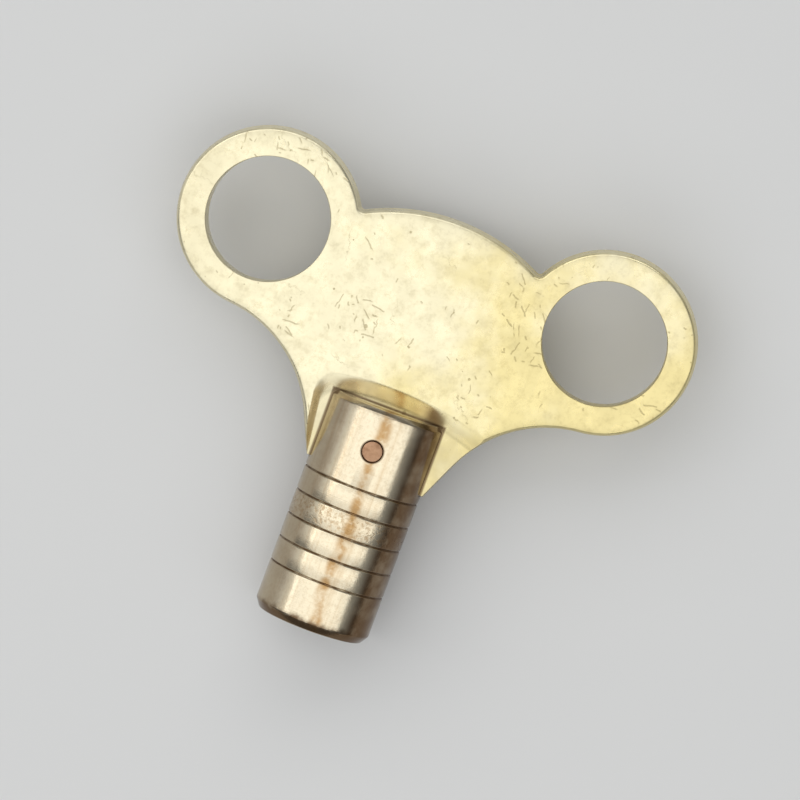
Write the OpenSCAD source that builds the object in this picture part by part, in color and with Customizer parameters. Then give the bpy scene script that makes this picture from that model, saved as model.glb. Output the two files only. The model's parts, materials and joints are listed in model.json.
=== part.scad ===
// Radiator bleed key: a flat winged handle cast with a thin tongue, a round barrel that
// is slotted to straddle the tongue and has a square socket in its far end, and a cross
// pin that locks the two together.
// The origin is the middle of the socket's mouth. +Y runs up the barrel to the handle,
// +X runs along the wings and +Z points out of the face that shows the pin.

/* [Handle] */
// Distance between the centres of the two eyes
eye_spacing = 25.7; // [25.4:0.1:26]
// Distance from the socket's mouth to the line through the eyes
eye_line = 26.5; // [26.3:0.1:26.7]
// Diameter of each eye's hole
eye_hole_d = 9.0; // [8:0.1:10]
// Outer diameter of the ring round each eye
eye_ring_d = 13.4; // [13.2:0.1:13.6]
// Thickness of the handle's plate
plate_t = 3.0; // [2.8:0.1:3.4]
// Radius of the low hump between the eyes
hump_r = 14.5; // [14:0.1:15]
// Height of the hump's crest above the line through the eyes
hump_rise = 4.6; // [4.3:0.1:4.8]
// Distance of each flank's arc centre from the middle plane
flank_x = 14.25; // [14:0.05:14.5]
// Height of each flank's arc centre above the socket's mouth
flank_y = 10.55; // [10.3:0.05:10.8]

/* [Edges] */
// How far the drafted side of the plate leans out from the face's corner to the parting line
draft_run = 0.15; // [0.05:0.05:0.25]
// Width of the soft corner between the face and the side
corner_run = 0.3; // [0.2:0.05:0.4]

/* [Tongue] */
// Thickness of the tongue that the barrel's slot straddles
tongue_t = 1.9; // [1.7:0.1:2.1]
// Height of the tongue's lower end above the socket's mouth
tongue_end = 11.5; // [11.3:0.1:12]
// Width of the tongue at its lower end, just wider than the barrel
tongue_w = 9.1; // [9:0.1:9.2]
// Angle at which the tongue's sides lean away from the barrel
tongue_lean = 26; // [25:1:27]
// Height of the foot of the front recess's slope
front_foot = 17.2; // [16.9:0.1:17.5]
// Length of the front recess's slope
front_run = 1.5; // [0.8:0.1:1.8]
// Height of the foot of the back recess's slope
back_foot = 18.0; // [17.6:0.1:18.2]
// Length of the back recess's slope
back_run = 0.7; // [0.5:0.1:1]

/* [Barrel] */
// Diameter of the barrel
barrel_d = 8.6; // [8.4:0.1:9]
// Length of the barrel
barrel_l = 16.75; // [16.25:0.05:17]
// Length of the chamfer round the socket end
end_chamfer_l = 0.6; // [0.2:0.1:0.8]
// Depth of the chamfer round the socket end
end_chamfer_r = 0.4; // [0.2:0.1:0.5]
// Size of the small chamfer round the slotted end
top_chamfer = 0.35; // [0.1:0.05:0.5]
// Gap between the slot and the tongue on each side
slot_gap = 0.03; // [0.02:0.01:0.08]

/* [Rings] */
// Number of fine grooves turned round the barrel
groove_count = 5; // [1:1:5]
// Height of the highest groove above the socket's mouth
groove_top = 10.83; // [10:0.01:11]
// Distance from one groove to the next
groove_pitch = 1.81; // [1.5:0.01:2]
// Width of each groove
groove_w = 0.3; // [0.15:0.05:0.4]
// Depth of each groove
groove_depth = 0.12; // [0.05:0.01:0.2]

/* [Socket] */
// Size of the square socket across its flats, for a 5 mm valve square
socket_af = 5.1; // [5:0.05:5.3]
// Depth of the square part of the socket
socket_depth = 9.4; // [8:0.1:9.6]
// Depth of the drill's cone past the square
drill_tip = 0.9; // [0.5:0.1:1]
// Radius of the countersunk mouth
mouth_r = 3.3; // [2.9:0.1:3.5]
// Depth of the countersink
mouth_depth = 0.7; // [0.3:0.1:1]

/* [Pin] */
// Diameter of the cross pin
pin_d = 1.5; // [1.3:0.1:1.8]
// Height of the cross pin above the socket's mouth
pin_y = 13.7; // [13.4:0.1:14]
// How far the pin goes into the back half of the barrel
pin_bite = 1.6; // [1:0.1:2]
// Width of the countersink round the pin's visible end
pin_sink = 0.15; // [0.05:0.05:0.25]

/* [Hidden] */
$fn = 96;
fit = 0.01;
spare = 1;
eye_x = eye_spacing / 2;
ring_r = eye_ring_d / 2;
barrel_r = barrel_d / 2;
pin_r = pin_d / 2;
half_t = plate_t / 2;
half_tongue = tongue_t / 2;
edge_run = draft_run + corner_run;
hump_y = eye_line + hump_rise - hump_r;

// Each flank is an arc that comes off the eye's ring and ends in the tongue's leaning side
eye_centre = [eye_x, eye_line];
flank_centre = [flank_x, flank_y];
flank_gap = norm(flank_centre - eye_centre);
ring_end = eye_centre + (flank_centre - eye_centre) * ring_r / flank_gap;
flank_r = flank_gap - ring_r - 0.03;
tip = [tongue_w / 2, tongue_end];
tip_side = tip + 3.4 * [sin(tongue_lean), cos(tongue_lean)];

// A round plate whose rim leans out to a parting line at half its thickness
module drafted_disc(r) {
    rotate_extrude()
        polygon([
            [0, -half_t],
            [r - edge_run, -half_t],
            [r - draft_run, corner_run - half_t],
            [r, 0],
            [r - draft_run, half_t - corner_run],
            [r - edge_run, half_t],
            [0, half_t]
        ]);
}

// The space outside a hollow rim of the same draft, to cut a concave side
module drafted_cutter(r) {
    rotate_extrude()
        polygon([
            [0, -half_t - spare],
            [r + edge_run, -half_t - spare],
            [r + edge_run, -half_t],
            [r + draft_run, corner_run - half_t],
            [r, 0],
            [r + draft_run, half_t - corner_run],
            [r + edge_run, half_t],
            [r + edge_run, half_t + spare],
            [0, half_t + spare]
        ]);
}

// The web between the eyes: hump above, flanks below, tongue at the bottom
module web() {
    side = [tip, tip_side, ring_end, eye_centre];
    other = [for (i = [len(side) - 1 : -1 : 0]) [-side[i][0], side[i][1]]];
    crest = [0, eye_line + hump_rise + spare];
    difference() {
        intersection() {
            translate([0, 0, -half_t])
                linear_extrude(plate_t)
                    polygon(concat(side, [[eye_x, crest[1]], [-eye_x, crest[1]]], other));
            translate([0, hump_y, 0])
                drafted_disc(hump_r);
        }
        for (s = [-1, 1])
            translate([s * flank_x, flank_y, 0])
                drafted_cutter(flank_r);
    }
}

// A sloped pocket, cut down from one face to the tongue
module recess(foot, run) {
    corner_r = 0.7;
    top_x = 4.9 - corner_r;
    low_x = 8.2;
    step = half_t - half_tongue;
    reach = (step + spare) / step;
    translate([0, 0, half_tongue])
        hull()
            for (s = [-1, 1]) {
                translate([s * top_x, foot - corner_r, 0])
                    cylinder(h = step + spare, r1 = corner_r, r2 = corner_r + run * reach, $fn = 32);
                translate([s * low_x, foot - corner_r - 6, 0])
                    cylinder(h = step + spare, r1 = corner_r, r2 = corner_r + run * reach, $fn = 32);
            }
}

module bow() {
    color([0.86, 0.78, 0.50])
        difference() {
            union() {
                web();
                for (s = [-1, 1])
                    translate([s * eye_x, eye_line, 0])
                        drafted_disc(ring_r);
            }
            for (s = [-1, 1])
                translate([s * eye_x, eye_line, -plate_t])
                    cylinder(h = 2 * plate_t, d = eye_hole_d);
            recess(front_foot, front_run);
            mirror([0, 0, 1])
                recess(back_foot, back_run);
            translate([0, pin_y, -plate_t])
                cylinder(h = 2 * plate_t, r = pin_r + fit);
        }
}

// The barrel's turned outline, spun about Z and laid along Y
module turned_bar() {
    rotate([-90, 0, 0])
        difference() {
            rotate_extrude()
                polygon([
                    [0, 0],
                    [barrel_r - end_chamfer_r, 0],
                    [barrel_r, end_chamfer_l],
                    [barrel_r, barrel_l - top_chamfer],
                    [barrel_r - top_chamfer, barrel_l],
                    [0, barrel_l]
                ]);
            for (i = [0 : groove_count - 1])
                translate([0, 0, groove_top - i * groove_pitch])
                    rotate_extrude()
                        polygon([
                            [barrel_r - groove_depth, 0],
                            [barrel_r + groove_depth, -groove_w],
                            [barrel_r + groove_depth, groove_w]
                        ]);
        }
}

// The square socket with its countersunk mouth and the drill's cone at the bottom
module socket() {
    half = socket_af / 2;
    drill_r = half - 0.05;
    translate([-half, -spare, -half])
        cube([socket_af, socket_depth + spare, socket_af]);
    rotate([-90, 0, 0]) {
        translate([0, 0, socket_depth - fit])
            cylinder(h = drill_tip, r1 = drill_r, r2 = 0);
        translate([0, 0, -fit])
            cylinder(h = mouth_depth, r1 = mouth_r, r2 = half);
    }
}

module barrel() {
    slot_half = half_tongue + slot_gap;
    slot_floor = tongue_end - slot_gap;
    pin_floor = -half_tongue - pin_bite - fit;
    color([0.72, 0.58, 0.36])
        difference() {
            turned_bar();
            socket();
            translate([-barrel_r - spare, slot_floor, -slot_half])
                cube([barrel_d + 2 * spare, barrel_l, 2 * slot_half]);
            translate([0, pin_y, pin_floor])
                cylinder(h = barrel_d, r = pin_r + fit);
            translate([0, pin_y, barrel_r - pin_sink])
                cylinder(h = 2 * pin_sink, r1 = pin_r, r2 = pin_r + 2 * pin_sink);
        }
}

module cross_pin() {
    floor_z = -half_tongue - pin_bite;
    crown = 0.15;
    length = barrel_r - floor_z;
    color([0.74, 0.50, 0.38])
        translate([0, pin_y, floor_z])
            rotate_extrude()
                polygon([
                    [0, 0],
                    [pin_r - crown, 0],
                    [pin_r, crown],
                    [pin_r, length - crown],
                    [pin_r - crown, length],
                    [0, length]
                ]);
}

bow();
barrel();
cross_pin();
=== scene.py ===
import json
import math
import bmesh
import bpy
from mathutils import Euler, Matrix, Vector


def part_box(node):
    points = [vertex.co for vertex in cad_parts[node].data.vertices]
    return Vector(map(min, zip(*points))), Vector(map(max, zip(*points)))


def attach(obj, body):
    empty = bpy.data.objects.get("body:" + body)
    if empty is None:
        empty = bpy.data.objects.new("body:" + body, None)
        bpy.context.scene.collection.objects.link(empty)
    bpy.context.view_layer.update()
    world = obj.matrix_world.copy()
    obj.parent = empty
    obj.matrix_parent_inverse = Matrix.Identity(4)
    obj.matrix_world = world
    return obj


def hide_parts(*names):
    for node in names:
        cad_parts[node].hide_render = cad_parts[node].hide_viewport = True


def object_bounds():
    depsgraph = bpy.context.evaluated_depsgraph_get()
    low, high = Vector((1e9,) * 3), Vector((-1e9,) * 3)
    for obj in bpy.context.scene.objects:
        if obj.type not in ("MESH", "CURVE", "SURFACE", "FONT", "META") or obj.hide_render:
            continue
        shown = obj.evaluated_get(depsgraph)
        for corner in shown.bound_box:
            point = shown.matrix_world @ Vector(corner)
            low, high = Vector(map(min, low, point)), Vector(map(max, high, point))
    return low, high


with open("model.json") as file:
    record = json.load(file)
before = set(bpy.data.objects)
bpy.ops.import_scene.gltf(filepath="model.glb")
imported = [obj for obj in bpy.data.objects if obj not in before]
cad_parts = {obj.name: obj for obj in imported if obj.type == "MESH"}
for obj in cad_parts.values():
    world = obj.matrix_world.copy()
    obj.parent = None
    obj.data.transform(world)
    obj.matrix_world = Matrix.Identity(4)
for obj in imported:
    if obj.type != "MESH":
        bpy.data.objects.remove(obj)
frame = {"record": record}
cad_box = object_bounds()
mounts = {mount["name"]: mount for mount in frame["record"]["mounts"]}

# ---------------------------------------------------------------------------------------
# The bow: a flat winged handle, die cast in one piece and plated with pale bright brass.
# Its outline is drawn as one chain of arcs, in millimetres. The sides lean out to the
# parting line, and each face steps down to a thin tongue that goes into the barrel's slot.
MM = 0.001
bow_low, bow_high = (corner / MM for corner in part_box("bow"))
eye = Vector(mounts["right_eye"]["pos_m"]) / MM
eye_r = mounts["right_eye"]["dims"]["r_mm"]
ring_r = bow_high.x - eye.x
plate_half = bow_high.z
tongue_half = 0.95
hump_r = 14.5
crest = Vector((0, eye.y + 4.6, 0))
hump = crest - Vector((0, hump_r, 0))
flank = Vector((14.25, 10.55, 0))
tip = Vector((4.46, bow_low.y, 0))
notch_soft = 0.35
eye_soft = 0.07
cut_reach = 4
weld = 0.0005


def deselect():
    """Leaves edit mode with nothing selected."""
    if bpy.context.mode != "OBJECT":
        bpy.ops.object.mode_set(mode="OBJECT")
    bpy.ops.object.select_all(action="DESELECT")


def open_up(piece):
    """Opens a piece in edit mode."""
    deselect()
    bpy.context.view_layer.objects.active = piece
    piece.select_set(True)
    bpy.ops.object.mode_set(mode="EDIT")


def pen(name, start):
    """A mesh of one point, open for drawing."""
    deselect()
    bpy.ops.mesh.primitive_plane_add(size=1, location=start)
    bpy.context.object.name = name
    bpy.ops.object.transform_apply(location=True)
    bpy.ops.object.mode_set(mode="EDIT")
    bpy.ops.mesh.select_mode(type="VERT")
    bpy.ops.mesh.merge(type="CENTER")
    return bpy.context.object


def edit_mesh():
    """The mesh that is open in edit mode."""
    return bmesh.from_edit_mesh(bpy.context.object.data)


def drawn_end():
    """The place of the drawing's last point, which is the selected one."""
    return next(point.co.copy() for point in edit_mesh().verts if point.select)


def line_to(*end):
    """Draws a straight line on to a place."""
    step = Vector(end) - drawn_end()
    bpy.ops.mesh.extrude_region_move(TRANSFORM_OT_translate={"value": step})


def arc_round(centre, end, clockwise, steps):
    """Draws on round centre until the arc points at end."""
    turn = (drawn_end() - centre).xy.angle_signed((end - centre).xy) % math.tau
    if not clockwise:
        turn -= math.tau
    bpy.ops.mesh.spin(steps=steps, angle=turn, center=centre, axis=(0, 0, 1))


def select_where(kind, wanted):
    """Selects only the points, edges or faces of the open mesh that wanted() says yes to."""
    bpy.ops.mesh.select_all(action="DESELECT")
    bpy.ops.mesh.select_mode(type=kind)
    mesh = edit_mesh()
    for part in {"VERT": mesh.verts, "EDGE": mesh.edges, "FACE": mesh.faces}[kind]:
        if wanted(part):
            part.select_set(True)
    mesh.select_flush_mode()
    bmesh.update_edit_mesh(bpy.context.object.data)


def near(a, b, reach=0.01):
    """Whether two lengths agree within reach."""
    return abs(a - b) < reach


def mirror_across(x=1, z=1):
    """Doubles the open mesh by its mirror image and welds the two."""
    bpy.ops.mesh.select_all(action="SELECT")
    bpy.ops.mesh.duplicate()
    bpy.ops.transform.resize(value=(x, 1, z), center_override=(0, 0, 0))
    bpy.ops.mesh.flip_normals()
    bpy.ops.mesh.select_all(action="SELECT")
    bpy.ops.mesh.remove_doubles(threshold=weld)


def fill_facing_up():
    """Fills the open outline with one face that faces up."""
    bpy.ops.mesh.select_all(action="SELECT")
    bpy.ops.mesh.edge_face_add()
    if next(iter(edit_mesh().faces)).normal.z < 0:
        bpy.ops.mesh.flip_normals()


def round_corner(corner, reach, steps):
    """Rounds the outline's corner at a place."""
    place = Vector(corner).xy
    select_where("VERT", lambda p: (p.co.xy - place).length < 0.01)
    bpy.ops.mesh.bevel(offset=reach, segments=steps, affect="VERTICES")


def inset_along(profile):
    """Steps the selected face inwards by the profile's (run, rise) pairs, one after another."""
    bpy.ops.mesh.select_mode(type="FACE")
    for (run, rise), (next_run, next_rise) in zip(profile, profile[1:]):
        bpy.ops.mesh.inset(
            thickness=next_run - run, depth=next_rise - rise, use_even_offset=True
        )


def cut(piece, cutter):
    """Takes the cutter's shape out of the piece, and the cutter away."""
    deselect()
    bpy.context.view_layer.objects.active = piece
    bpy.ops.object.modifier_add(type="BOOLEAN")
    saw = piece.modifiers[-1]
    saw.object = cutter
    saw.operation = "DIFFERENCE"
    saw.solver = "EXACT"
    bpy.ops.object.modifier_apply(modifier=saw.name)
    bpy.data.objects.remove(cutter)


def rod(radius, low, high, centre=(0, 0, 0), turn=(0, 0, 0), top_radius=None, sides=144):
    """A round cutter from low to high along its own axis, straight or tapered."""
    deselect()
    bpy.ops.mesh.primitive_cone_add(
        vertices=sides,
        radius1=radius,
        radius2=radius if top_radius is None else top_radius,
        depth=high - low,
        location=(0, 0, (high + low) / 2),
    )
    bpy.ops.object.transform_apply()
    bpy.context.object.location = centre
    bpy.context.object.rotation_euler = turn
    bpy.ops.object.transform_apply()
    return bpy.context.object


# The outline's right half, clockwise from the hump's crest to the foot of the tongue
flank_r = (flank - eye).length - ring_r
to_eye = eye - hump
along = (to_eye.length**2 + hump_r**2 - ring_r**2) / (2 * to_eye.length)
aside = math.sqrt(hump_r**2 - along**2)
square = Vector((-to_eye.y, to_eye.x, 0)) / to_eye.length
notch = hump + to_eye * along / to_eye.length + square * aside
tip_away = tip - flank
tip_turn = math.atan2(tip_away.y, tip_away.x) - math.acos(flank_r / tip_away.length)
side_top = flank + flank_r * Vector((math.cos(tip_turn), math.sin(tip_turn), 0))
bow = pen("cast_bow", crest)
arc_round(hump, notch, True, 24)
arc_round(eye, flank, True, 92)
arc_round(flank, side_top, False, 30)
line_to(*tip)
line_to(0, tip.y, 0)
mirror_across(x=-1)
fill_facing_up()
for s in (-1, 1):
    round_corner((s * notch.x, notch.y), notch_soft, 4)
bpy.ops.mesh.select_all(action="SELECT")

# The side: a hair of flash at the parting line, the mould's draft, a soft corner, and
# then a last slight swell where polishing has worn the face down towards its edge
flash = (0.03, 0.06)
worn_run, worn_rise, worn_steps = 1.2, 0.03, 4
corner_run, corner_rise, corner_steps = 0.30, 0.34, 7
corner_bend = math.radians(87)
corner_start = (flash[0] + 0.10, plate_half - worn_rise - corner_rise)
side = [(0, 0), flash, corner_start]
for i in range(1, corner_steps + 1):
    bend = corner_bend * i / corner_steps
    run = corner_start[0] + corner_run * (1 - math.cos(bend))
    side.append((run, corner_start[1] + corner_rise * math.sin(bend)))
corner_end = side[-1]
for i in range(1, worn_steps + 1):
    run = corner_end[0] + worn_run * i / worn_steps
    rise = corner_end[1] + (plate_half - corner_end[1]) * (1 - (1 - i / worn_steps) ** 2)
    side.append((run, rise))
inset_along(side)
mirror_across(z=-1)
for s in (-1, 1):
    cut(bow, rod(eye_r, -cut_reach, cut_reach, (s * eye.x, eye.y, 0)))


def shoulder_cutter(rim, soft_corners, shrink, curve):
    """A pocket down to the tongue, which shrinks on the way and drops along a curve."""
    above, steps, middle = 0.02, 10, (0.3, 4.0)
    rim_z = plate_half + above
    made = pen("shoulder_cutter", (*rim[0], rim_z))
    for corner in rim[1:]:
        line_to(*corner, rim_z)
    fill_facing_up()
    for corner, reach in soft_corners.items():
        round_corner(rim[corner], reach, 14)
    bpy.ops.mesh.select_all(action="SELECT")
    bpy.ops.mesh.extrude_region_move(TRANSFORM_OT_translate={"value": (0, 0, 2)})
    select_where("FACE", lambda f: near(f.calc_center_median().z, rim_z))
    drop = rim_z - tongue_half
    scale = Vector((1, 1, 1))
    for i in range(1, steps + 1):
        sink = drop * (curve(i / steps) - curve((i - 1) / steps))
        bpy.ops.mesh.extrude_region_move(TRANSFORM_OT_translate={"value": (0, 0, -sink)})
        wanted = Vector((1 - shrink[0] * i / steps, 1 - shrink[1] * i / steps, 1))
        step = (wanted.x / scale.x, wanted.y / scale.y, 1)
        bpy.ops.transform.resize(value=step, center_override=(*middle, 0))
        scale = wanted
    return made


# In front the shoulder comes down to the barrel in one long soft curve. Behind it is
# shorter and ends in a sharp crease. Both run out through the right flank, and both keep
# inside the left one as far as the tongue's end.
front_rim = [(-4.8, 4), (-5.1, 12), (-5.85, 17.9), (1, 19.0), (8.6, 17.0), (8.6, 4)]
front_soft = {2: 1.5, 3: 4.5}
cut(bow, shoulder_cutter(front_rim, front_soft, (0.15, 0.11), lambda t: t * t * (3 - 2 * t)))
back_rim = [(-5.6, 4), (-5.9, 14), (-5.7, 18.6), (3.5, 19.35), (5.7, 18.9), (9, 15), (8.6, 4)]
back_soft = {2: 1.6, 3: 1.5, 4: 1.0}
back_cutter = shoulder_cutter(back_rim, back_soft, (0.14, 0.065), lambda t: t * t)
bpy.ops.mesh.select_all(action="SELECT")
bpy.ops.transform.resize(value=(1, 1, -1), center_override=(0, 0, 0))
bpy.ops.mesh.flip_normals()
cut(bow, back_cutter)
pin_low, pin_high = (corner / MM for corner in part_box("cross_pin"))
pin_r = (pin_high.x - pin_low.x) / 2
pin_y = (pin_high.y + pin_low.y) / 2
pin_gap = 0.01
cut(bow, rod(pin_r + pin_gap, -cut_reach, cut_reach, (0, pin_y, 0), sides=48))


def on_eye_rim(edge):
    """Whether an edge lies on the rim of an eye."""
    return all(
        near((Vector((abs(end.co.x), end.co.y)) - eye.xy).length, eye_r, 0.02)
        and near(abs(end.co.z), plate_half)
        for end in edge.verts
    )


open_up(bow)
select_where("EDGE", on_eye_rim)
bpy.ops.mesh.bevel(offset=eye_soft, segments=3, affect="EDGES")


def finish_piece(piece):
    """Brings the piece to metres, and shades its flats flat and its bends soft."""
    open_up(piece)
    bpy.ops.mesh.select_all(action="SELECT")
    bpy.ops.transform.resize(value=(MM, MM, MM), center_override=(0, 0, 0))
    bpy.ops.object.mode_set(mode="OBJECT")
    bpy.ops.object.shade_smooth_by_angle(angle=math.radians(30))
    bpy.ops.object.modifier_add(type="WEIGHTED_NORMAL")
    piece.modifiers[-1].keep_sharp = True
    bpy.ops.object.modifier_apply(modifier=piece.modifiers[-1].name)


finish_piece(bow)


class Finish:
    """A metal made of procedural nodes, with its patterns laid out in millimetres."""

    def __init__(self, name):
        self.material = bpy.data.materials.new(name)
        self.material.use_nodes = True
        self.tree = self.material.node_tree
        self.shader = self.tree.nodes["Principled BSDF"]
        self.shader.inputs["Metallic"].default_value = 1
        self.place = self.add("ShaderNodeTexCoord").outputs["Object"]

    def feed(self, socket, value):
        """Links a socket to another node's output, or sets its value."""
        if isinstance(value, bpy.types.NodeSocket):
            self.tree.links.new(value, socket)
        else:
            socket.default_value = value

    def add(self, kind, settings=(), **inputs):
        """Adds a node with its settings, and feeds the inputs that are named."""
        node = self.tree.nodes.new(kind)
        for name, value in dict(settings).items():
            setattr(node, name, value)
        for name, value in inputs.items():
            self.feed(node.inputs[name.replace("_", " ")], value)
        return node

    def laid(self, stretch=(1, 1, 1)):
        """Places in millimetres, with patterns stretched along each axis."""
        scale = [1 / MM / part for part in stretch]
        return self.add("ShaderNodeMapping", Vector=self.place, Scale=scale).outputs[0]

    def noise(self, size, seed, detail=2.0, rough=0.5, where=None):
        """Soft noise from 0 to 1, with blobs about size millimetres across."""
        node = self.add(
            "ShaderNodeTexNoise",
            {"noise_dimensions": "4D"},
            Vector=where or self.laid(),
            W=seed,
            Scale=1 / size,
            Detail=detail,
            Roughness=rough,
        )
        return node.outputs["Fac"]

    def math(self, operation, a, b=0.0, c=0.0):
        """One step of arithmetic on patterns and numbers."""
        node = self.add("ShaderNodeMath", {"operation": operation})
        for socket, value in zip(node.inputs, (a, b, c)):
            self.feed(socket, value)
        return node.outputs[0]

    def ramp(self, value, low, high, at_low=0.0, at_high=1.0):
        """A smooth change from at_low to at_high as value goes from low to high."""
        node = self.add(
            "ShaderNodeMapRange",
            {"interpolation_type": "SMOOTHSTEP"},
            Value=value,
            From_Min=low,
            From_Max=high,
            To_Min=at_low,
            To_Max=at_high,
        )
        return node.outputs[0]

    def blend(self, share, a, b):
        """Colour a where share is 0, and colour b where it is 1."""
        node = self.add("ShaderNodeMix", {"data_type": "RGBA"})
        self.feed(node.inputs["Factor"], share)
        for socket, value in zip(node.inputs[6:8], (a, b)):
            self.feed(socket, value)
        return node.outputs[2]

    def away_from(self, place, along=None):
        """Distance in millimetres from a place, or from the line through it along an axis."""
        node = self.add("ShaderNodeVectorMath", {"operation": "DISTANCE"})
        self.feed(node.inputs[0], self.laid([1e6 if axis == along else 1 for axis in "xyz"]))
        self.feed(node.inputs[1], place)
        return node.outputs["Value"]

    def strokes(self, cell, length, width, share, seed):
        """A mask of lone ragged strokes at mixed angles, one in a share of the cells."""
        ragged = self.add("ShaderNodeTexNoise", Vector=self.laid(), Scale=2.5, Detail=3.0)
        laid = self.add("ShaderNodeVectorMath", {"operation": "MULTIPLY_ADD"})
        bend = 0.8 * length
        for socket, value in zip(laid.inputs, (ragged.outputs["Color"], (bend,) * 3, self.laid())):
            self.feed(socket, value)
        laid = self.add("ShaderNodeMapping", Vector=laid.outputs[0], Location=(seed, -seed, 0))
        cells = self.add(
            "ShaderNodeTexVoronoi",
            {"voronoi_dimensions": "2D"},
            Vector=laid.outputs[0],
            Scale=1 / cell,
        )
        off = self.add("ShaderNodeVectorMath", {"operation": "SUBTRACT"})
        self.feed(off.inputs[0], laid.outputs[0])
        self.feed(off.inputs[1], cells.outputs["Position"])
        luck = self.add("ShaderNodeSeparateXYZ", Vector=cells.outputs["Color"]).outputs
        turn = self.add(
            "ShaderNodeVectorRotate", {"rotation_type": "Z_AXIS"}, Vector=off.outputs[0]
        )
        self.feed(turn.inputs["Angle"], self.math("MULTIPLY_ADD", luck[0], 2.2, -0.3))
        lengthwise, sideways, _ = self.add("ShaderNodeSeparateXYZ", Vector=turn.outputs[0]).outputs
        narrow = self.ramp(self.math("ABSOLUTE", sideways), 0, width, 1, 0)
        own_length = self.math("MULTIPLY", self.math("ABSOLUTE", lengthwise), luck[2])
        short = self.ramp(own_length, 0.2 * length, 0.5 * length, 1, 0)
        there = self.math("LESS_THAN", luck[1], share)
        return self.math("MULTIPLY", self.math("MULTIPLY", narrow, short), there)

    def bump(self, height, depth, under=None):
        """Raises the surface by height times depth millimetres."""
        node = self.add("ShaderNodeBump", Height=height, Strength=1.0, Distance=depth * MM)
        if under:
            self.feed(node.inputs["Normal"], under)
        return node.outputs[0]

    def put_on(self, piece, colour, roughness, surface):
        """Joins the patterns to the shader, and gives the metal to the piece."""
        self.feed(self.shader.inputs["Base Color"], colour)
        self.feed(self.shader.inputs["Roughness"], roughness)
        self.feed(self.shader.inputs["Normal"], surface)
        piece.data.materials.append(self.material)


# Pale plating, a deeper yellow low on the bow, towards its right and in patches. Painted
# shade darkens the shoulders and the other surfaces below the face low on the bow, and grime
# lies round the left eye and in fine specks. Handling has left pits, hairline scratches, and
# nicks that crowd together where the bow was knocked. A dark seam of dirt and painted contact
# shadow runs round the barrel.
plating = Finish("pale_brass_plating")
pale = (0.84, 0.77, 0.535, 1)
gold = (0.76, 0.65, 0.32, 1)
olive = (0.36, 0.28, 0.12, 1)
umber = (0.13, 0.075, 0.035, 1)
across, upward, outward = plating.add("ShaderNodeSeparateXYZ", Vector=plating.laid()).outputs
thin = plating.math("MULTIPLY_ADD", across, 0.018, plating.noise(6.0, 3.0, 4.0, 0.55))
thin = plating.math("MULTIPLY_ADD", upward, -0.012, thin)
thin = plating.ramp(thin, 0.12, 0.52)
speck = plating.ramp(plating.noise(0.6, 14.0, 5.0, 0.7), 0.42, 0.74, 0, 0.30)
speck = plating.math("ADD", speck, plating.ramp(across, -13.5, -20, 0, 0.14))
off_middle = plating.math("ABSOLUTE", outward)
# Painted shade: olive, smeared unevenly, on every surface below the face low on the bow, that is
# the recessed shoulders, the tongue and the lower sides
below_face = plating.ramp(off_middle, plate_half - 0.45, plate_half - 0.03, 0.29, 0)
low_down = plating.ramp(upward, 18.2, 19.5, 1, 0)
shade_below_face = plating.math("MULTIPLY", below_face, low_down)
smeared = plating.ramp(plating.noise(0.8, 24.0, 3.0), 0.3, 0.6, 0.5, 1)
shade_below_face = plating.math("MULTIPLY", shade_below_face, smeared)
cell = plating.add("ShaderNodeTexVoronoi", Vector=plating.laid(), Scale=0.9)
pit_size = plating.ramp(plating.noise(2.2, 9.0), 0.50, 0.72, 0, 0.14)
pits = plating.math("LESS_THAN", cell.outputs["Distance"], pit_size)
crowded = plating.ramp(plating.noise(4.0, 27.0, 2.0), 0.48, 0.68, 0.02, 0.9)
knock = (-4.2, 22.0, 0)
knocked = plating.ramp(plating.away_from(knock, "z"), 1.0, 2.4, 0.9, 0)
crowded = plating.math("MAXIMUM", crowded, knocked)
nicks = plating.strokes(0.8, 0.24, 0.08, crowded, 7.3)
nicks = plating.math("MAXIMUM", nicks, plating.strokes(1.6, 0.5, 0.07, crowded, 61.7))
hairs = plating.math("MULTIPLY", plating.strokes(4.4, 1.6, 0.04, 0.4, 93.1), 0.5)
on_face = plating.ramp(off_middle, plate_half - 0.18, plate_half - 0.08)
marks = plating.math("MULTIPLY", plating.math("MAXIMUM", nicks, hairs), on_face)
marks = plating.math("MAXIMUM", marks, pits)
barrel_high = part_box("barrel")[1] / MM
# Dirt and painted contact shadow: umber on the bow along the barrel's end and sides, and under the
# barrel
past_side = plating.math("SUBTRACT", plating.math("ABSOLUTE", across), barrel_high.z - 0.1)
past_end = plating.math("SUBTRACT", upward, barrel_high.y)
seam_dirt_and_shade = plating.ramp(plating.math("MAXIMUM", past_side, past_end), 0.04, 0.2, 0.85, 0)
colour = plating.blend(thin, pale, gold)
# Olive for the grime specks and for the painted shade below the face
colour = plating.blend(plating.math("MAXIMUM", speck, shade_below_face), colour, olive)
colour = plating.blend(plating.math("MULTIPLY", marks, 0.5), colour, olive)
# Umber for the dirt and painted contact shadow along the barrel
colour = plating.blend(seam_dirt_and_shade, colour, umber)
gloss = plating.ramp(plating.noise(1.5, 50.0, 3.0), 0.3, 0.7, 0.24, 0.38)
gloss = plating.math("MULTIPLY_ADD", marks, 0.15, gloss)
surface = plating.bump(plating.noise(4.5, 60.0, 3.0, 0.4), 0.12)
surface = plating.bump(plating.noise(0.22, 70.0, 4.0, 0.65), 0.005, surface)
surface = plating.bump(marks, -0.01, surface)
plating.put_on(bow, colour, gloss, surface)
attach(bow, "root")
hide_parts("bow")

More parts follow.
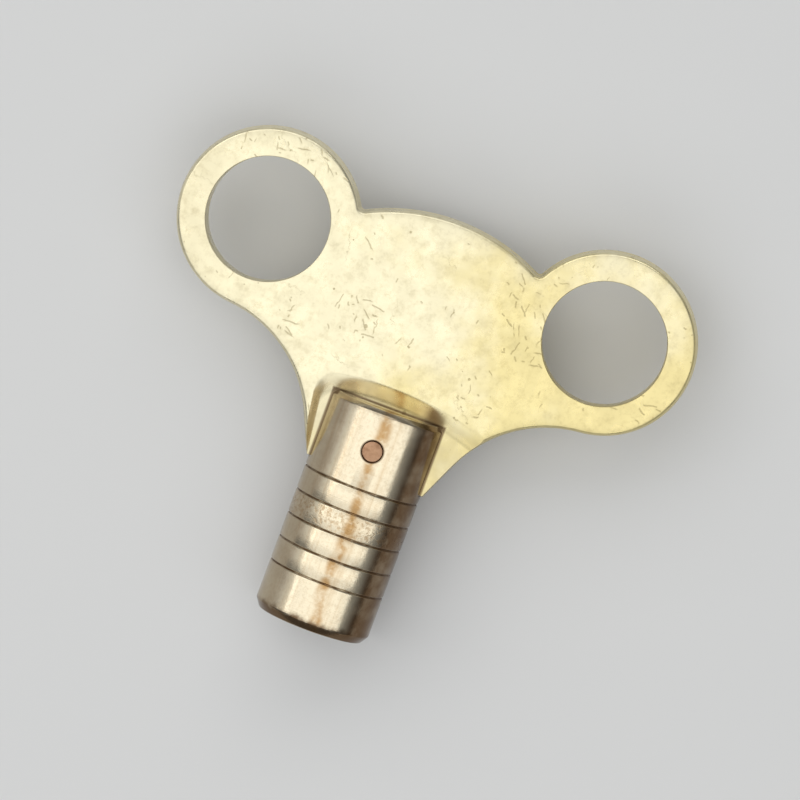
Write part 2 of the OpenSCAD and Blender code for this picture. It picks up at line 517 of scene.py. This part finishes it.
# ---------------------------------------------------------------------------------------
# The barrel: a short bar of bare brass, turned to size with five fine rings, slotted
# across its upper end for the tongue and broached square in its free end. A punch mark
# on the back closes the end of the slot on the tongue.
barrel_r = barrel_high.z
barrel_l = barrel_high.y
end_chamfer_r, end_chamfer_l = 0.4, 0.6
top_chamfer = 0.35
top_groove, groove_pitch = 10.83, 1.81
groove_heights = [top_groove - groove_pitch * i for i in range(5)]
groove_half, groove_depth = 0.11, 0.09
chamfer_soft, groove_soft, slot_soft = 0.07, 0.035, 0.05
slot_gap = 0.03
slot_half = tongue_half + slot_gap
slot_floor = tip.y - slot_gap
socket_half = 5.1 / 2
socket_depth = mounts["socket"]["dims"]["length_mm"]
socket_corner = 0.15
drill_r, drill_tip = socket_half - 0.03, 0.9
mouth_r, mouth_depth = 3.33, 0.72
hole_r = pin_r + 0.012
sink_r, sink_depth = pin_r + 0.16, 0.12
punch = Vector((0.7, 11.65, -4.24))

barrel = pen("turned_barrel", (0, 0, 0))
line_to(barrel_r - end_chamfer_r, 0, 0)
line_to(barrel_r, end_chamfer_l, 0)
for height in reversed(groove_heights):
    line_to(barrel_r, height - groove_half, 0)
    line_to(barrel_r - groove_depth, height - groove_half / 4, 0)
    line_to(barrel_r - groove_depth, height + groove_half / 4, 0)
    line_to(barrel_r, height + groove_half, 0)
line_to(barrel_r, barrel_l - top_chamfer, 0)
line_to(barrel_r - top_chamfer, barrel_l, 0)
line_to(0, barrel_l, 0)


def turn_on_lathe(centre, axis, steps):
    """Spins the drawn profile into a closed round body."""
    bpy.ops.mesh.select_all(action="SELECT")
    bpy.ops.mesh.spin(steps=steps, angle=math.tau, center=centre, axis=axis)
    bpy.ops.mesh.select_all(action="SELECT")
    bpy.ops.mesh.remove_doubles(threshold=weld)
    bpy.ops.mesh.normals_make_consistent(inside=False)


def soften_ring(radius, height, reach, steps):
    """Rounds the sharp edge that runs round the barrel at a radius and a height."""

    def on_ring(edge):
        return all(
            near(end.co.y, height) and near(end.co.xz.length, radius) for end in edge.verts
        )

    select_where("EDGE", on_ring)
    bpy.ops.mesh.bevel(offset=reach, segments=steps, affect="EDGES")


turn_on_lathe((0, 0, 0), (0, 1, 0), 144)
chamfer_edges = [
    (barrel_r - end_chamfer_r, 0),
    (barrel_r, end_chamfer_l),
    (barrel_r, barrel_l - top_chamfer),
    (barrel_r - top_chamfer, barrel_l),
]
for radius, height in chamfer_edges:
    soften_ring(radius, height, chamfer_soft, 3)
for height in groove_heights:
    for s in (-1, 1):
        soften_ring(barrel_r, height + s * groove_half, groove_soft, 2)


def block(low, high):
    """A square cutter between two corners."""
    deselect()
    bpy.ops.mesh.primitive_cube_add(size=1, location=(Vector(low) + Vector(high)) / 2)
    bpy.context.object.scale = Vector(high) - Vector(low)
    bpy.ops.object.transform_apply()
    return bpy.context.object


# The slot, then the socket with its rounded corners, drill cone and countersunk mouth
cut(barrel, block((-6, slot_floor, -slot_half), (6, barrel_l + 1, slot_half)))
broach = block((-socket_half, -1, -socket_half), (socket_half, socket_depth, socket_half))
open_up(broach)
select_where("EDGE", lambda e: abs(e.verts[0].co.y - e.verts[1].co.y) > 1)
bpy.ops.mesh.bevel(offset=socket_corner, segments=3, affect="EDGES")
cut(barrel, broach)
lying = (math.radians(-90), 0, 0)
drill_end = socket_depth + drill_tip
cut(barrel, rod(drill_r, socket_depth - 0.01, drill_end, turn=lying, top_radius=0.02))
cut(barrel, rod(mouth_r, -0.03, mouth_depth, turn=lying, top_radius=drill_r))

# The pin's hole with its small sink, and the punch mark on the back
hole_floor = pin_low.z - 0.01
above_skin = barrel_r + 0.1
pin_drill = pen("pin_drill", (0, pin_y, hole_floor))
line_to(hole_r, pin_y, hole_floor)
line_to(hole_r, pin_y, barrel_r - sink_depth)
line_to(sink_r, pin_y, above_skin)
line_to(0, pin_y, above_skin)
turn_on_lathe((0, pin_y, 0), (0, 0, 1), 48)
cut(barrel, pin_drill)
deselect()
struck_from = punch - Vector((0, 0, 0.22))
bpy.ops.mesh.primitive_ico_sphere_add(subdivisions=2, radius=0.42, location=struck_from)
bpy.context.object.scale = (1.3, 0.8, 1)
bpy.ops.object.transform_apply()
cut(barrel, bpy.context.object)


def on_slot_edge(edge):
    """Whether an edge lies where the slot comes out through the barrel's skin."""
    return all(
        near(abs(end.co.z), slot_half, 0.004)
        and near(end.co.xz.length, barrel_r, 0.02)
        and slot_floor + 0.001 < end.co.y < barrel_l - top_chamfer
        for end in edge.verts
    )


open_up(barrel)
select_where("EDGE", on_slot_edge)
bpy.ops.mesh.bevel(offset=slot_soft, segments=2, affect="EDGES")
finish_piece(barrel)

# Bare brass: turning marks round it, a painted reflection drawn out along it as one golden
# brown streak among fine grain streaks, painted shade deeper down its sides and on its foot,
# tarnish and painted shade at its top, dirt in the rings and in the punch mark, dirt and
# painted shade in the seam round the pin, and a dull mottled band between two of the rings
bare = Finish("bare_turned_brass")
honey = (0.76, 0.67, 0.49, 1)
brown = (0.42, 0.24, 0.085, 1)
side_shade_russet = (0.125, 0.064, 0.026, 1)
across, upward, outward = bare.add("ShaderNodeSeparateXYZ", Vector=bare.laid()).outputs
# A painted reflection: one golden brown streak just right of the middle, which stands for a dark
# line mirrored in the highlight; fine lengthwise grain streaks join it
wander = bare.math("MULTIPLY_ADD", bare.noise(3.0, 4.0, 3.0), 1.6, -0.4)
off_streak = bare.math("ABSOLUTE", bare.math("SUBTRACT", across, wander))
patchy = bare.ramp(bare.noise(0.9, 6.0, 3.0, 0.6), 0.36, 0.6, 0.3, 1)
streak_reflection_and_grain = bare.math("MULTIPLY", bare.ramp(off_streak, 0.1, 0.7, 0.9, 0), patchy)
fine_streaks = bare.noise(0.8, 2.0, 3.0, 0.6, bare.laid((1, 26, 1)))
streak_reflection_and_grain = bare.math("MAXIMUM", streak_reflection_and_grain, bare.ramp(fine_streaks, 0.48, 0.75, 0, 0.4))
# Painted shade: russet down both sides of the barrel, deeper on the right, clouded
side = bare.ramp(bare.math("ABSOLUTE", across), 2.2, 3.0, 0, 1)
side = bare.math("MULTIPLY", side, bare.ramp(across, -4.0, 3.0, 0.5, 0.95))
cloudy = bare.ramp(bare.noise(1.3, 40.0, 4.0, 0.6), 0.3, 0.6, 0.82, 1)
side = bare.math("MULTIPLY", side, cloudy)
turning = bare.noise(1, 8.0, 3.0, 0.7, bare.laid((30, 0.07, 30)))
uneven = bare.noise(0.7, 30.0, 3.0, 0.6)
off_groove = 100.0
for height in groove_heights:
    off_this = bare.math("ABSOLUTE", bare.math("SUBTRACT", upward, height))
    off_groove = bare.math("MINIMUM", off_this, off_groove)
dirt_and_seam_shade = bare.ramp(off_groove, 0.03, 0.10, 1, 0)
dirt_and_seam_shade = bare.math("MULTIPLY", dirt_and_seam_shade, bare.ramp(uneven, 0.3, 0.6, 0.5, 1))
off_axis = bare.away_from((0, 0, 0), "y")
on_skin = bare.ramp(off_axis, barrel_r - 0.5, barrel_r - 0.25)
dirt_and_seam_shade = bare.math("MULTIPLY", dirt_and_seam_shade, on_skin)
# Dirt and painted shade: an umber ring round the pin on the front, where its gap lies in shade
off_pin = bare.away_from((0, pin_y, 0), "z")
seam_dirt_and_shade = bare.ramp(off_pin, pin_r + 0.06, pin_r + 0.18, 0.8, 0)
seam_dirt_and_shade = bare.math("MULTIPLY", seam_dirt_and_shade, bare.ramp(outward, 0, 1))
# The pin's seam, dirt and painted shade, joins the dirt
dirt_and_seam_shade = bare.math("MAXIMUM", dirt_and_seam_shade, seam_dirt_and_shade)
punched = bare.math("MULTIPLY_ADD", uneven, 0.9, bare.away_from(punch))
dirt_and_seam_shade = bare.math("MAXIMUM", dirt_and_seam_shade, bare.ramp(punched, 0.85, 1.05, 0.85, 0))
# Painted shade on the foot's chamfer and end, and tarnish with painted shade on the top chamfer
foot_shade = bare.ramp(bare.math("ADD", upward, uneven), 0.95, 1.5, 1, 0)
foot_shade = bare.math("MULTIPLY", foot_shade, bare.ramp(upward, 0.01, 0.08, 0.45, 0.95))
top_tarnish_and_shade = bare.ramp(bare.math("ADD", upward, uneven), barrel_l - 0.15, barrel_l + 0.35, 0, 0.45)
top_tarnish_and_shade = bare.math("MULTIPLY", top_tarnish_and_shade, bare.ramp(upward, barrel_l - 0.04, barrel_l - 0.01, 1, 0))
end_tarnish_and_shade = bare.math("MAXIMUM", foot_shade, top_tarnish_and_shade)
band_middle = (groove_heights[1] + groove_heights[2]) / 2
off_band = bare.math("ABSOLUTE", bare.math("SUBTRACT", upward, band_middle))
mottle = bare.ramp(bare.noise(0.28, 12.0, 4.0, 0.65), 0.45, 0.64, 0, 0.5)
mottle = bare.math("MULTIPLY", mottle, bare.ramp(off_band, 0.65, 0.9, 1, 0.25))
mottle = bare.math("MULTIPLY", mottle, on_skin)
# Brown for the painted reflection streak, the grain, the turning marks and the mottle
colour = bare.blend(streak_reflection_and_grain, honey, brown)
colour = bare.blend(bare.ramp(turning, 0.55, 0.8, 0, 0.25), colour, brown)
colour = bare.blend(mottle, colour, brown)
# Russet for the painted shade down the sides
colour = bare.blend(side, colour, side_shade_russet)
# Umber for the painted shade and tarnish at the ends
colour = bare.blend(end_tarnish_and_shade, colour, umber)
# Umber for the dirt, with the painted shade of the pin's seam
colour = bare.blend(dirt_and_seam_shade, colour, umber)
gloss = bare.ramp(bare.noise(1.2, 16.0, 3.0), 0.3, 0.7, 0.14, 0.22)
gloss = bare.math("MULTIPLY_ADD", bare.math("MAXIMUM", dirt_and_seam_shade, mottle), 0.3, gloss)
surface = bare.bump(turning, 0.004)
surface = bare.bump(bare.noise(0.15, 20.0, 3.0, 0.6), 0.002, surface)
surface = bare.bump(mottle, -0.01, surface)
bare.put_on(barrel, colour, gloss, surface)
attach(barrel, "root")
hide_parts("barrel")

# ---------------------------------------------------------------------------------------
# The cross pin: a short copper-coloured peg, driven in from the front through the barrel
# and the tongue until its crowned end is flush. The dark seam round it is dirt and painted
# shade on the barrel.
crown = 0.13
pin = pen("cross_peg", (0, pin_y, pin_low.z))
line_to(pin_r - crown, pin_y, pin_low.z)
line_to(pin_r, pin_y, pin_low.z + crown)
line_to(pin_r, pin_y, pin_high.z - crown)
line_to(pin_r - 0.3 * crown, pin_y, pin_high.z - 0.35 * crown)
line_to(pin_r - crown, pin_y, pin_high.z - 0.06 * crown)
line_to(0, pin_y, pin_high.z)
turn_on_lathe((0, pin_y, 0), (0, 0, 1), 64)
finish_piece(pin)
copper = Finish("dull_copper")
rose = (0.50, 0.30, 0.18, 1)
dusk = (0.26, 0.13, 0.065, 1)
tarnish = copper.ramp(copper.noise(0.4, 3.0, 4.0, 0.6), 0.45, 0.7, 0, 0.6)
colour = copper.blend(tarnish, rose, dusk)
gloss = copper.ramp(copper.noise(0.3, 5.0, 3.0), 0.3, 0.7, 0.40, 0.55)
surface = copper.bump(copper.noise(0.18, 7.0, 4.0, 0.6), 0.006)
copper.put_on(pin, colour, gloss, surface)
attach(pin, "root")
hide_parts("cross_pin")

# ---------------------------------------------------------------------------------------
# The studio: a plain pale floor that the barrel lies on, and large soft panels. The flat
# face mirrors the one overhead and its brighter core, so its waves show. The key light
# stands beyond the hump, and two weaker panels fill the shoulder and the left side.
deselect()
bpy.ops.mesh.primitive_plane_add(size=4, location=(0, 0, cad_box[0].z))
floor = bpy.context.object
floor.name = "floor"
card = bpy.data.materials.new("pale_card")
card.use_nodes = True
card_shader = card.node_tree.nodes["Principled BSDF"]
card_shader.inputs["Base Color"].default_value = (0.66, 0.66, 0.65, 1)
card_shader.inputs["Roughness"].default_value = 0.8
floor.data.materials.append(card)
world = bpy.data.worlds.new("studio")
bpy.context.scene.world = world
world.use_nodes = True
sky = world.node_tree.nodes["Background"]
sky.inputs["Color"].default_value = (0.93, 0.96, 1, 1)
sky.inputs["Strength"].default_value = 0.26
bpy.context.scene.view_settings.view_transform = "Standard"


def softbox(name, size, place, target, power):
    """A flat rectangular light at a place, turned to face its target."""
    light = bpy.data.lights.new(name, "AREA")
    light.shape = "RECTANGLE"
    light.size, light.size_y = size
    light.energy = power
    made = bpy.data.objects.new(name, light)
    bpy.context.scene.collection.objects.link(made)
    made.location = place
    aim = Vector(target) - Vector(place)
    made.rotation_euler = aim.to_track_quat("-Z", "Y").to_euler()


softbox("overhead", (1.9, 0.6), (0, -0.02, 0.6), (0, -0.02, 0), 2.8)
softbox("overhead_core", (1.9, 0.18), (0, -0.03, 0.59), (0, -0.03, 0), 0.43)
softbox("front_fill", (0.9, 0.38), (0, -0.45, 0.42), (0, 0, 0), 1.1)
softbox("left_fill", (0.3, 0.6), (-0.75, 0, 0.26), (0, 0, 0), 0.3)
softbox("key_light", (1.1, 0.45), (-0.25, 0.47, 0.42), (0, 0.015, 0), 1.95)

# The camera looks down from just above the hump, turned so that the wings fall to the right
camera_data = bpy.data.cameras.new("camera")
camera_data.lens = 225
camera_data.clip_start = 0.01
camera = bpy.data.objects.new("camera", camera_data)
bpy.context.scene.collection.objects.link(camera)
tilt = Euler(math.radians(angle) for angle in (-4.2, 2.6, 20.3))
looks_at = Vector((0.0005, 0.0175, 0))
stands_off = Vector((0, 0, 0.36))
camera.rotation_euler = tilt
camera.location = looks_at + tilt.to_matrix() @ stands_off
bpy.context.scene.camera = camera
